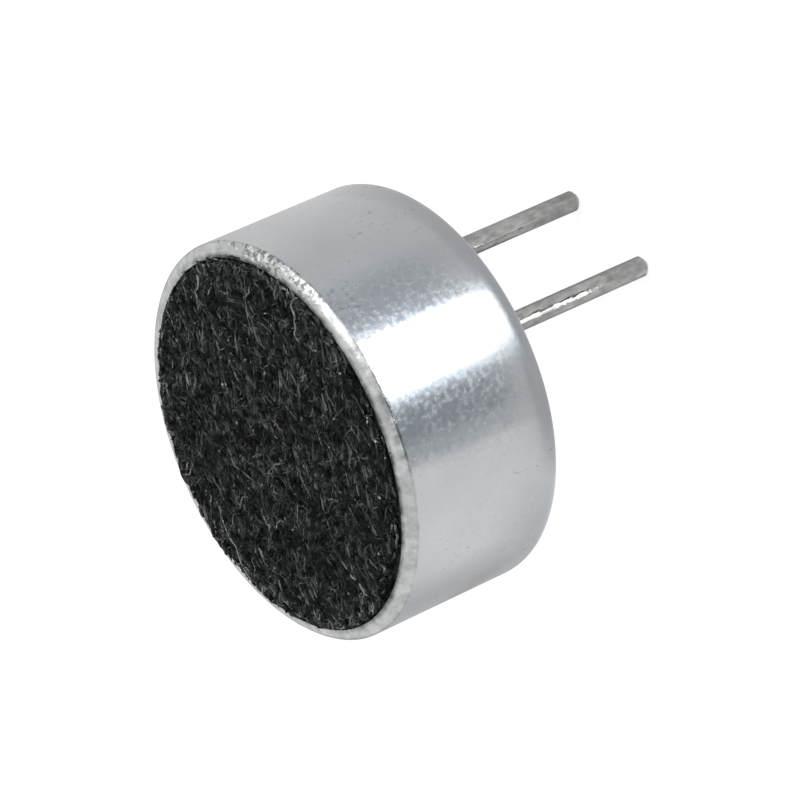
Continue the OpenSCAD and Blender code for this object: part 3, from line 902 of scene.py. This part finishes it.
def white_floor():
    """Floor that looks white, keeps the object's shadow, and is clear when seen from below."""
    mesh = bpy.data.meshes.new("floor")
    side, level = FLOOR_HALF * MM, FLOOR_Z * MM
    corners = [(-side, -side, level), (side, -side, level), (side, side, level), (-side, side, level)]
    mesh.from_pydata(corners, [], [(0, 1, 2, 3)])
    floor = link("floor", mesh)
    material = bpy.data.materials.new("white floor")
    material.use_nodes = True
    tree = material.node_tree
    tree.nodes.remove(tree.nodes["Principled BSDF"])
    matt = put(tree, "ShaderNodeBsdfDiffuse", {"Color": (FLOOR_GREY, FLOOR_GREY, FLOOR_GREY, 1)}).outputs[0]
    glow = put(tree, "ShaderNodeEmission", {"Color": (1, 1, 1, 1), "Strength": FLOOR_GLOW}).outputs[0]
    both = put(tree, "ShaderNodeAddShader", {0: matt, 1: glow}).outputs[0]
    from_above = put(tree, "ShaderNodeMixShader", {0: seen_plain(tree), 1: matt, 2: both}).outputs[0]
    below = put(tree, "ShaderNodeNewGeometry").outputs["Backfacing"]
    clear = put(tree, "ShaderNodeBsdfTransparent").outputs[0]
    sided = put(tree, "ShaderNodeMixShader", {0: below, 1: from_above, 2: clear}).outputs[0]
    tree.links.new(sided, tree.nodes["Material Output"].inputs["Surface"])
    mesh.materials.append(material)


def white_world():
    """World that looks white and lights the object a little less."""
    world = bpy.data.worlds.new("studio")
    world.use_nodes = True
    tree = world.node_tree
    back = tree.nodes["Background"].inputs
    back["Color"].default_value = (1, 1, 1, 1)
    tree.links.new(between(tree, seen_plain(tree), WORLD_LIGHT, 1.0), back["Strength"])
    bpy.context.scene.world = world


def lamp(name, azimuth, elevation, distance, width, height, power):
    """Soft rectangular lamp, placed by its compass direction from the object."""
    data = bpy.data.lights.new(name, "AREA")
    data.shape = "RECTANGLE"
    data.size, data.size_y = width * MM, height * MM
    data.energy = power
    obj = link(name, data)
    level = Vector(compass(azimuth)) * math.cos(math.radians(elevation))
    way = level + Vector((0, 0, math.sin(math.radians(elevation))))
    obj.location = (LAMP_AIM + way * distance) * MM
    obj.rotation_mode = "QUATERNION"
    obj.rotation_quaternion = (-way).to_track_quat("-Z", "Y")
    obj.visible_camera = False


white_floor()
white_world()
lamp("key", azimuth=-62, elevation=40, distance=300, width=240, height=205, power=0.26)
lamp("low_side", azimuth=-122, elevation=12, distance=160, width=60, height=20, power=0.16)


# Studio cards, which only reflections show

# Surround on the floor as the can's side mirrors it: azimuth, brightness, share of blue
SURROUND = [
    (-306, 0.52, 0.2), (-286, 0.56, 0.2), (-266, 0.60, 0.2), (-250, 0.63, 0.15), (-236, 0.77, 0.1),
    (-222, 0.98, 0.0), (-198, 1.03, 0.0), (-180, 1.00, 0.0), (-163.6, 0.98, 0.0), (-162, 0.58, 0.4),
    (-158, 0.60, 0.5), (-153.5, 0.58, 0.6), (-151, 0.42, 1.0), (-137, 0.42, 1.0), (-131.5, 0.75, 1.0),
    (-126, 2.8, 0.7), (-121, 7.0, 0.6), (-104, 7.0, 0.6), (-97.5, 0.80, 0.9), (-86, 0.58, 0.7),
    (-76, 0.58, 0.6), (-72, 0.61, 0.5), (-68, 0.67, 0.4), (-64, 0.72, 0.3), (-58, 0.73, 0.2),
    (-46, 0.73, 0.1), (-36, 0.78, 0.1), (-14, 0.85, 0.0), (-2, 0.82, 0.0), (14, 0.71, 0.0),
    (34, 0.59, 0.0), (54, 0.55, 0.0),
]
# Part of the surround under the can, which the pins mirror, darker as the can's painted shadow: azimuth,
# brightness
UNDER = [
    (-306, 0.40), (-286, 0.42), (-266, 0.46), (-251, 0.52), (-240, 0.64), (-225, 0.76), (-186, 0.81),
    (-165, 0.76), (-150, 0.74), (-130, 0.80), (-100, 0.78), (-76, 0.71), (-46, 0.70), (-20, 0.76),
    (-2, 0.79), (14, 0.72), (34, 0.64), (54, 0.58),
]
# Collar next to the crimped edge, which mirrors it, grey as painted shade under the can: azimuth,
# brightness
COLLAR = [
    (-306, 0.50), (-250, 0.50), (-225, 0.56), (-204, 0.66), (-196, 0.71), (-183, 0.84), (-172, 0.88),
    (-158, 0.62), (-150, 0.56), (-80, 0.60), (-40, 0.72), (-10, 0.80), (54, 0.66),
]
# Radii of the surround: middle dimmed by more painted shadow, end of the part under the can, start and end
# of the rest
DIM_R, UNDER_R, SURROUND_R, SURROUND_END = 5.0, 13.6, 14.4, 90.0
# painted shadow: share of brightness left in the middle under the can
DIM = 0.9
SURROUND_LIFT = 0.1
COLLAR_R = (4.5, 5.76)
COLLAR_Z = -0.03
# Small upright card under the can, which the pins mirror as a bright streak beside a dark line
STREAK_CORNERS = [(-2.05, -1.73), (-2.50, -1.45), (-2.51, -1.44), (-3.10, -0.55)]
STREAK_LIGHTS = (0.16, 0.16, 3.0, 3.0)
STREAK_Z = (-4.3, -1.5)


def card_material(name):
    """Light of a studio card, from the colours painted on it."""
    material = bpy.data.materials.new(name)
    material.use_nodes = True
    tree = material.node_tree
    tree.nodes.remove(tree.nodes["Principled BSDF"])
    painted = put(tree, "ShaderNodeAttribute", attribute_name="light")
    glow = put(tree, "ShaderNodeEmission", {"Color": painted.outputs["Color"], "Strength": 1.0})
    tree.links.new(glow.outputs[0], tree.nodes["Material Output"].inputs["Surface"])
    return material


def studio_card(name, points, faces, lights):
    """A flat card with a light painted on each of its points."""
    mesh = bpy.data.meshes.new(name)
    mesh.from_pydata([(x * MM, y * MM, z * MM) for x, y, z in points], [], faces)
    mesh.attributes.new("light", "FLOAT_COLOR", "POINT").data.foreach_set("color", np.ravel(lights))
    mesh.materials.append(card_material(name))
    card = link(name, mesh)
    card.visible_camera = card.visible_diffuse = card.visible_shadow = card.visible_transmission = False


def ring_card(name, rings, azimuths, height):
    """A flat ring card round the can, from rings of a radius and a colour for each azimuth."""
    points, faces, lights = [], [], []
    for i, azimuth in enumerate(azimuths):
        a = math.radians(azimuth)
        for radius, colours in rings:
            points.append((radius * math.cos(a), AXIS_Y + radius * math.sin(a), height))
            lights.append((*colours[i], 1.0))
    n = len(rings)
    for i in range(len(azimuths) - 1):
        for j in range(n - 1):
            faces.append((i * n + j, i * n + j + 1, (i + 1) * n + j + 1, (i + 1) * n + j))
    studio_card(name, points, faces, lights)


def studio_surround():
    """Floor of light and grey card round the can with painted shadow under the can, and a grey collar under
    its crimped edge as painted shade.
    """
    azimuths = np.arange(-306.0, 54.01, 0.5)
    known, tones, blues = zip(*SURROUND)
    tones, blues = np.interp(azimuths, known, tones), np.interp(azimuths, known, blues)
    tinted = np.stack([tones * (0.97 - 0.15 * blues), tones * (0.985 - 0.075 * blues), tones], axis=1)
    # painted shadow of the can on the card under it
    plain = np.repeat(np.interp(azimuths, *zip(*UNDER))[:, None], 3, axis=1)
    rings = [(0.0, plain * DIM), (DIM_R, plain), (UNDER_R, plain),
             (SURROUND_R, tinted), (SURROUND_END, tinted)]
    ring_card("studio_surround", rings, azimuths, FLOOR_Z + SURROUND_LIFT)
    # grey collar: painted shade under the crimped edge
    grey = np.interp(azimuths, *zip(*COLLAR))[:, None] * np.array([0.955, 0.975, 1.0])
    ring_card("studio_collar", [(radius, grey) for radius in COLLAR_R], azimuths, COLLAR_Z)


def low_light():
    """Small upright card whose bright part gives the pins their streak."""
    points = [(x, y, z) for x, y in STREAK_CORNERS for z in STREAK_Z]
    lights = [(v, v, v, 1.0) for v in STREAK_LIGHTS for _ in STREAK_Z]
    studio_card("low_light", points, [(0, 1, 3, 2), (2, 3, 5, 4), (4, 5, 7, 6)], lights)


studio_surround()
low_light()

bpy.context.scene.view_settings.view_transform = "Standard"
